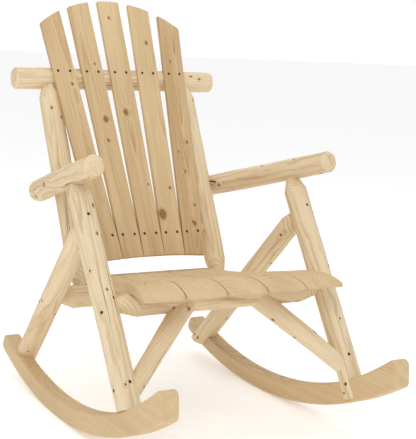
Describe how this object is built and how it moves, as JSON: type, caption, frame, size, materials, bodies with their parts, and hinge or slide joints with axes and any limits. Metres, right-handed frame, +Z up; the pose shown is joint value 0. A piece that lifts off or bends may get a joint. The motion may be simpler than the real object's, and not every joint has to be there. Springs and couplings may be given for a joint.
{
  "type": "rocking chair",
  "caption": "High-backed rocking chair of peeled round logs on curved sawn rockers, with sloping armrests, a fanned arched slat back and a dished slat seat.",
  "frame": {"origin": "on the floor under the middle of the outline", "axes": "+Z up, the chair faces -Y, +X across it towards the sitter's left hand; the chair leans as it does when it stands empty and at rest"},
  "size_m": [0.6854, 1.006, 1.0011],
  "materials": {
    "peeled_log": "smooth peeled fir, unvarnished",
    "sawn_board": "sawn and sanded fir, unvarnished",
    "planed_board": "planed fir, unvarnished",
    "streaked_board": "planed fir with brown streaks, unvarnished",
    "seat_board": "contour-sawn fir, unvarnished",
    "screw_steel": "dark coated screws"
  },
  "bodies": {
    "root": {"rocker_left": "sawn_board", "front_leg_left": "peeled_log", "rear_leg_left": "peeled_log", "back_post_left": "peeled_log", "armrest_left": "peeled_log", "brace_left": "peeled_log", "rocker_right": "sawn_board", "front_leg_right": "peeled_log", "rear_leg_right": "peeled_log", "back_post_right": "peeled_log", "armrest_right": "peeled_log", "brace_right": "peeled_log", "top_rail": "peeled_log", "lower_back_rail": "peeled_log", "front_seat_rail": "peeled_log", "rear_seat_rail": "peeled_log", "back_slat_1": "planed_board", "back_slat_2": "planed_board", "back_slat_3": "planed_board", "back_slat_4": "planed_board", "back_slat_5": "streaked_board", "seat_slat_1": "seat_board", "seat_slat_2": "seat_board", "seat_slat_3": "seat_board", "seat_slat_4": "seat_board", "seat_slat_5": "seat_board", "top_slat_screws": "screw_steel", "lower_slat_screws": "screw_steel", "front_seat_screws": "screw_steel", "rear_seat_screws": "screw_steel", "rocker_lap_screws": "screw_steel", "leg_tenon_screws": "screw_steel", "brace_screws": "screw_steel", "armrest_screws": "screw_steel", "back_post_screws": "screw_steel"}
  },
  "joints": []
}
